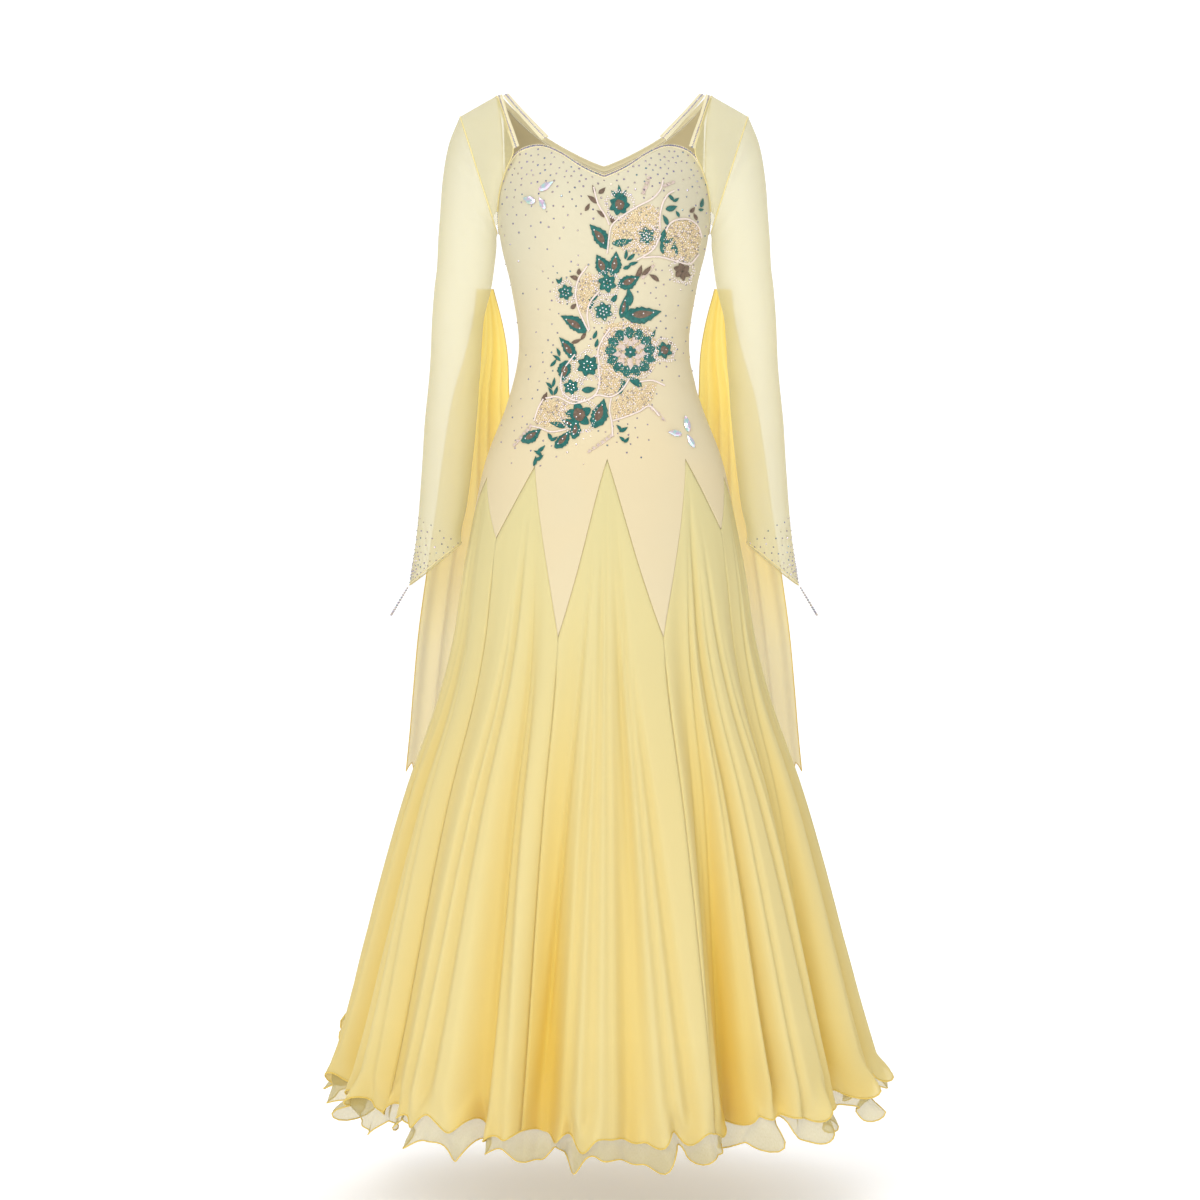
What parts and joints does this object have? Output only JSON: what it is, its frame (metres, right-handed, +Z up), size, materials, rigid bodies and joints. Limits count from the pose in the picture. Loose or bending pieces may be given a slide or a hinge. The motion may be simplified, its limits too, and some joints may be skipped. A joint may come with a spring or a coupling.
{
  "type": "ballroom dance dress",
  "caption": "Long hollow ballroom dress with strapped sweetheart neckline, sheer pointed sleeves, chiffon floats, floral lace bodice and flared godet skirt.",
  "frame": {"origin": "middle of the shoulder line, level with the top of the shoulders", "axes": "+Z up, the front of the dress faces -Y, +X on the right of someone who looks at the front"},
  "size_m": [0.7362, 0.7046, 1.3562],
  "materials": {
    "crepe": "smooth matte stretch crepe, pale champagne yellow",
    "chiffon": "soft matte layered chiffon, butter yellow",
    "organza": "crisp sheer organza, pale greenish yellow",
    "mesh": "fine sheer stretch mesh, pale yellow",
    "lace": "corded and sequinned floral lace, teal and taupe on net",
    "elastic": "thin clear silvery elastic",
    "crystal": "faceted clear crystal with a foiled back"
  },
  "bodies": {
    "root": {"bodice_front": "crepe", "bodice_back": "crepe", "back_neck_band": "crepe", "inner_strap_left": "crepe", "inner_strap_right": "crepe", "outer_strap_left": "crepe", "outer_strap_right": "crepe", "godet_front": "chiffon", "godet_front_right": "chiffon", "godet_side_front_right": "chiffon", "godet_side_back_right": "chiffon", "godet_back_right": "chiffon", "godet_back": "chiffon", "godet_back_left": "chiffon", "godet_side_back_left": "chiffon", "godet_side_front_left": "chiffon", "godet_front_left": "chiffon", "under_front": "organza", "under_front_right": "organza", "under_side_front_right": "organza", "under_side_back_right": "organza", "under_back_right": "organza", "under_back": "organza", "under_back_left": "organza", "under_side_back_left": "organza", "under_side_front_left": "organza", "under_front_left": "organza", "float_left": "chiffon", "float_right": "chiffon", "sleeve_left": "mesh", "sleeve_right": "mesh", "shoulder_left": "mesh", "shoulder_right": "mesh", "finger_loop_left": "elastic", "finger_loop_right": "elastic", "applique_front": "lace", "stone_bust_upper": "crystal", "stone_bust_left": "crystal", "stone_bust_lower": "crystal", "stone_hip_upper": "crystal", "stone_hip_left": "crystal", "stone_hip_lower": "crystal"}
  },
  "joints": []
}
